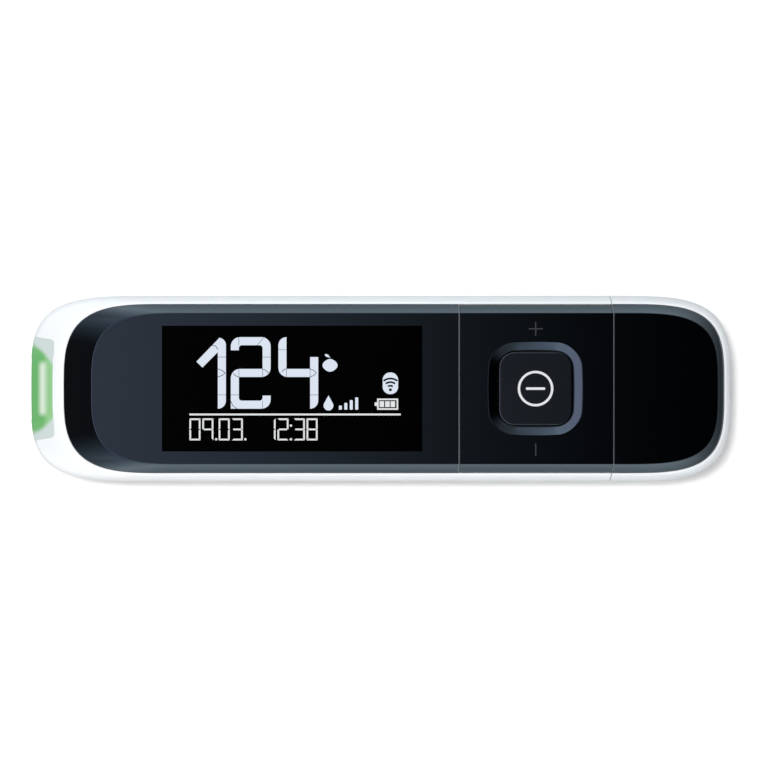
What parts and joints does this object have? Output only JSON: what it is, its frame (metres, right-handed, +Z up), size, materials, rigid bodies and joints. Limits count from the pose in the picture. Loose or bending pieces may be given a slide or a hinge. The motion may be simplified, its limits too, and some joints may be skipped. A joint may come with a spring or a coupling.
{
  "type": "blood glucose meter",
  "caption": "Stick-shaped blood glucose meter with a lit strip port, a display, a power key in a rocker and a pull-off cap over a USB plug.",
  "frame": {"origin": "centre of the underside, on the table under the middle of the meter with its cap on", "axes": "+X along the meter from the strip port to the cap, +Y across it, +Z up out of the panel"},
  "size_m": [0.1054, 0.028, 0.016],
  "materials": {
    "white_shell": "smooth white moulded plastic with a soft gloss",
    "dark_panel": "deep blue-black panel with a high gloss",
    "display_lens": "black anti-reflection display window",
    "key_face": "fine satin black key",
    "light_guide": "milky light guide lit green from within",
    "inner_plastic": "matt dark moulded plastic",
    "circuit_board": "green solder resist",
    "chips": "matt black mould compound",
    "ceramic": "glazed ceramic",
    "display_glass": "dark display glass",
    "white_plastic": "satin white moulded plastic",
    "foam": "closed-cell foam",
    "flex_film": "amber polyimide film",
    "foil": "laminated pouch foil",
    "red_wire": "satin wire insulation",
    "black_wire": "satin wire insulation",
    "plug_steel": "nickel-plated sheet steel",
    "gold_contact": "gold-plated spring metal",
    "screw_steel": "zinc-plated steel"
  },
  "bodies": {
    "case": {"lower_case": "white_shell", "upper_case": "white_shell", "display_bezel": "dark_panel", "display_window": "display_lens", "port_light_guide": "light_guide", "strip_guide": "inner_plastic", "strip_contacts": "gold_contact", "status_leds": "ceramic", "main_board": "circuit_board", "board_chips": "chips", "board_passives": "ceramic", "radio_antenna": "ceramic", "lcd_glass": "display_glass", "lcd_backlight": "white_plastic", "lcd_frame": "white_plastic", "lcd_gasket": "foam", "lcd_flex": "flex_film", "flex_connector": "white_plastic", "battery_pad": "foam", "battery_cell": "foil", "cell_board": "circuit_board", "red_lead": "red_wire", "black_lead": "black_wire", "usb_shell": "plug_steel", "usb_tongue": "white_plastic", "usb_contacts": "gold_contact", "key_frame": "inner_plastic", "power_switch": "chips", "plus_switch": "chips", "minus_switch": "chips", "case_screws": "screw_steel"},
    "rocker": {"rocker_plate": "dark_panel"},
    "power_key": {"power_button": "key_face"},
    "cap": {"cap_shell": "white_shell", "cap_panel": "dark_panel"}
  },
  "joints": [
    {"name": "rocker_tilt", "type": "hinge", "parent": "case", "child": "rocker", "pos_m": [0.023, 0, 0.01345], "axis": [1, 0, 0], "range_deg": [-1.5, 1.5], "stiffness_Nm_per_rad": 0.08},
    {"name": "power_press", "type": "slide", "parent": "case", "child": "power_key", "axis": [0, 0, -1], "range_m": [0, 0.0003], "stiffness_N_per_m": 600, "springref_m": -0.0005},
    {"name": "cap_pull", "type": "slide", "parent": "case", "child": "cap", "axis": [1, 0, 0], "range_m": [0, 0.03]}
  ]
}
